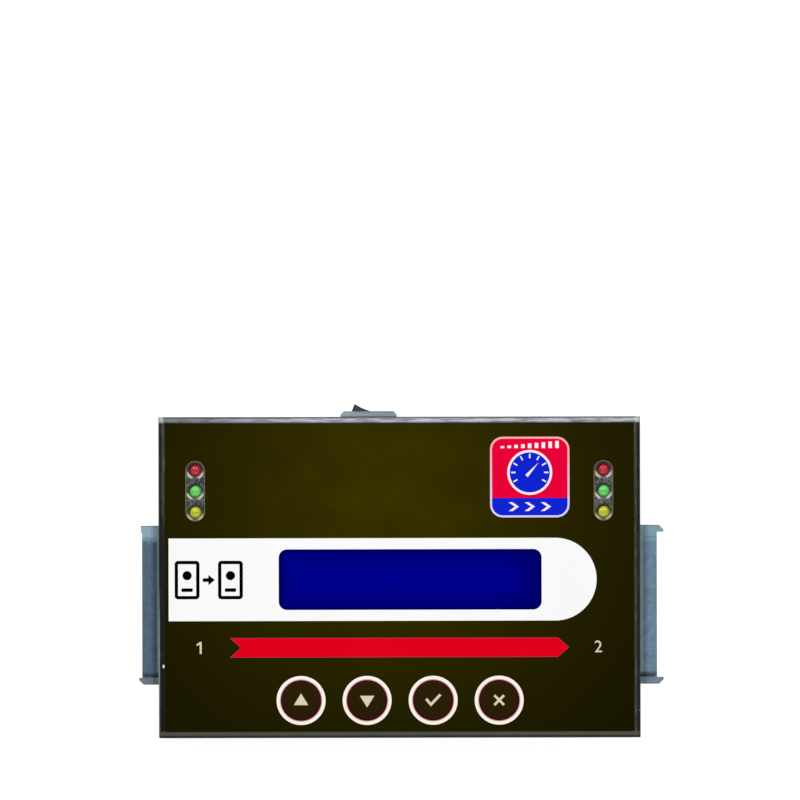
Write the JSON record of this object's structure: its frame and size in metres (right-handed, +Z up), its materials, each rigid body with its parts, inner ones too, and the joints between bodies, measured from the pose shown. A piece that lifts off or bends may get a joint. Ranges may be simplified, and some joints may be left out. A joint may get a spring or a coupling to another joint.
{
  "type": "ssd duplicator",
  "caption": "Small sheet-metal drive copier with a display window, round keys, status lights, a rear rocker switch and drive receptacles out of its end walls.",
  "frame": {"origin": "middle of the bounding box's length and depth, on the table under the rubber feet", "axes": "+X out of the target receptacle, +Y towards the rear wall with the rocker switch, +Z up through the display"},
  "size_m": [0.1308, 0.0832, 0.0289],
  "materials": {
    "powder_coat": "fine textured satin black powder coat",
    "black_screws": "blackened steel",
    "foot_rubber": "matt",
    "overlay_print": "printed polycarbonate sheet, satin",
    "display_lens": "clear acrylic over a lit blue display",
    "gasket_foam": "closed-cell foam",
    "bezel_steel": "black painted steel",
    "display_glass": "polished",
    "light_guide": "clear acrylic",
    "strip_rubber": "silicone",
    "board_laminate": "solder mask over glass laminate",
    "header_plastic": "moulded",
    "gold_plate": "gold flash",
    "nickel_brass": "nickel plated",
    "zinc_steel": "zinc plated",
    "chip_epoxy": "moulded epoxy",
    "sink_aluminium": "anodised",
    "can_steel": "drawn can",
    "capacitor_sleeve": "shrunk sleeve",
    "coil_ferrite": "ferrite",
    "lead_tin": "tinned",
    "spacer_nylon": "moulded nylon",
    "switch_plastic": "moulded",
    "key_plastic": "moulded, satin",
    "led_red": "diffused epoxy",
    "led_green": "diffused epoxy",
    "led_yellow": "diffused epoxy",
    "receptacle_plastic": "moulded, glossy",
    "jack_plastic": "moulded",
    "rocker_bezel": "moulded, satin",
    "rocker_black": "moulded, glossy",
    "lead_insulation": "extruded",
    "connector_white": "moulded nylon"
  },
  "bodies": {
    "case": {"top_cover": "powder_coat", "base_tray": "powder_coat", "case_screws": "black_screws", "rubber_feet": "foot_rubber", "overlay": "overlay_print", "display_window": "display_lens", "display_gasket": "gasket_foam", "lcd_bezel": "bezel_steel", "lcd_glass": "display_glass", "lcd_backlight": "light_guide", "lcd_contact_strips": "strip_rubber", "lcd_board": "board_laminate", "main_board": "board_laminate", "lcd_header": "header_plastic", "lcd_header_pins": "gold_plate", "source_contacts": "gold_plate", "target_contacts": "gold_plate", "lcd_spacers": "nickel_brass", "board_standoffs": "nickel_brass", "dc_jack_contacts": "nickel_brass", "rocker_terminals": "nickel_brass", "lcd_screws": "zinc_steel", "board_screws": "zinc_steel", "processor_chip": "chip_epoxy", "memory_chips": "chip_epoxy", "firmware_chip": "chip_epoxy", "chip_resistors": "chip_epoxy", "heat_sink": "sink_aluminium", "crystal": "can_steel", "capacitors": "capacitor_sleeve", "power_coil": "coil_ferrite", "led_leads": "lead_tin", "led_spacers": "spacer_nylon", "key_switch_up": "switch_plastic", "key_switch_down": "switch_plastic", "key_switch_confirm": "switch_plastic", "key_switch_back": "switch_plastic", "led_source_red": "led_red", "led_target_red": "led_red", "led_source_green": "led_green", "led_target_green": "led_green", "led_source_yellow": "led_yellow", "led_target_yellow": "led_yellow", "source_receptacle": "receptacle_plastic", "target_receptacle": "receptacle_plastic", "dc_jack": "jack_plastic", "rocker_housing": "rocker_bezel", "switch_leads": "lead_insulation", "lead_connector": "connector_white"},
    "paddle": {"rocker_paddle": "rocker_black"},
    "up_key": {"key_cap_up": "key_plastic", "key_plunger_up": "switch_plastic"},
    "down_key": {"key_cap_down": "key_plastic", "key_plunger_down": "switch_plastic"},
    "confirm_key": {"key_cap_confirm": "key_plastic", "key_plunger_confirm": "switch_plastic"},
    "back_key": {"key_cap_back": "key_plastic", "key_plunger_back": "switch_plastic"}
  },
  "joints": [
    {"name": "rocker", "type": "hinge", "parent": "case", "child": "paddle", "pos_m": [-0.00805, 0.03522, 0.0178], "axis": [0, 0, 1], "range_deg": [0, 24]},
    {"name": "key_up", "type": "slide", "parent": "case", "child": "up_key", "axis": [0, 0, -1], "range_m": [0, 0.0003], "stiffness_N_per_m": 3000, "springref_m": -0.0004},
    {"name": "key_down", "type": "slide", "parent": "case", "child": "down_key", "axis": [0, 0, -1], "range_m": [0, 0.0003], "stiffness_N_per_m": 3000, "springref_m": -0.0004},
    {"name": "key_confirm", "type": "slide", "parent": "case", "child": "confirm_key", "axis": [0, 0, -1], "range_m": [0, 0.0003], "stiffness_N_per_m": 3000, "springref_m": -0.0004},
    {"name": "key_back", "type": "slide", "parent": "case", "child": "back_key", "axis": [0, 0, -1], "range_m": [0, 0.0003], "stiffness_N_per_m": 3000, "springref_m": -0.0004}
  ]
}
